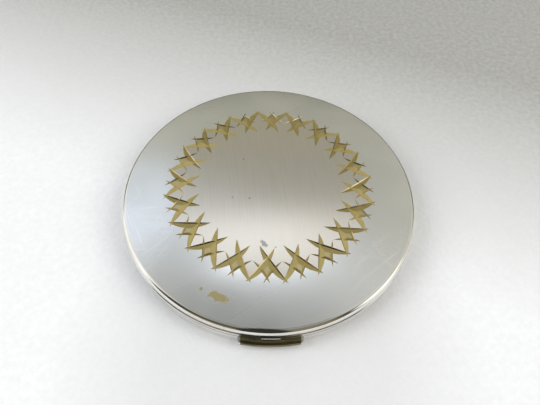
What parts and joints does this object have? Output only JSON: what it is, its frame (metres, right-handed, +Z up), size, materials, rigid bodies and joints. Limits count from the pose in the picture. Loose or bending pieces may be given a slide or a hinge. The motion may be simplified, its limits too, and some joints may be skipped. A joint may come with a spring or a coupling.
{
  "type": "compact mirror",
  "caption": "Round domed metal compact with a hinged mirror lid, a powder lid that rises with it, a sifter and puff, a thumb catch and a ring of bright-cut stars.",
  "frame": {"origin": "on the case's axis, in the flat underside that the compact rests on", "axes": "+Z up through the lid, -Y to the front where the thumb catch is, +X to the right of someone facing the catch"},
  "size_m": [0.0824, 0.0842, 0.0115],
  "materials": {
    "silver_plate": "satin silver plate on brass, polished at the rim, with gilt bright-cut stars",
    "gilt": "polished gilt brass",
    "worn_brass": "ribbed brass, darkened and worn",
    "steel": "drawn steel wire and pins",
    "mirror_glass": "silvered glass with a narrow bevel",
    "card": "grey-brown backing board",
    "gauze": "fine woven gauze",
    "velour": "short cotton velour",
    "ribbon": "satin ribbon"
  },
  "bodies": {
    "base": {"base_shell": "silver_plate", "base_hinge_leaf": "gilt", "hinge_pin": "steel", "inner_ring": "gilt", "powder_pan": "gilt", "sifter_rim": "gilt", "sifter_gauze": "gauze", "puff_pad": "velour", "puff_ribbon": "ribbon", "powder_lid_bracket": "gilt", "bracket_rivets": "steel", "powder_lid_pin": "steel", "powder_lid_spring": "steel", "catch_guide": "gilt", "catch_spring": "steel"},
    "lid": {"lid_shell": "silver_plate", "lid_hinge_leaf": "gilt", "mirror_glass": "mirror_glass", "mirror_card": "card", "mirror_frame": "gilt", "catch_plate": "gilt"},
    "inner_lid": {"powder_lid": "gilt", "powder_lid_knuckles": "gilt", "powder_lid_tab": "gilt"},
    "catch": {"thumb_bar": "worn_brass", "catch_slide": "gilt", "catch_hook": "gilt", "hook_rivet": "steel"}
  },
  "joints": [
    {"name": "lid_hinge", "type": "hinge", "parent": "base", "child": "lid", "pos_m": [0, 0.0407, 0.0054], "axis": [-1, 0, 0], "range_deg": [0, 105]},
    {"name": "powder_lid_hinge", "type": "hinge", "parent": "base", "child": "inner_lid", "pos_m": [0, 0.0364, 0.00545], "axis": [-1, 0, 0], "range_deg": [0, 63]},
    {"name": "thumb_catch", "type": "slide", "parent": "base", "child": "catch", "axis": [0, 1, 0], "range_m": [0, 0.0008], "stiffness_N_per_m": 1500, "springref_m": -0.0004, "deforming": ["catch_spring"]}
  ],
  "couplings": [
    {"joint": "powder_lid_hinge", "follows": "lid_hinge", "ratio": 0.6}
  ]
}
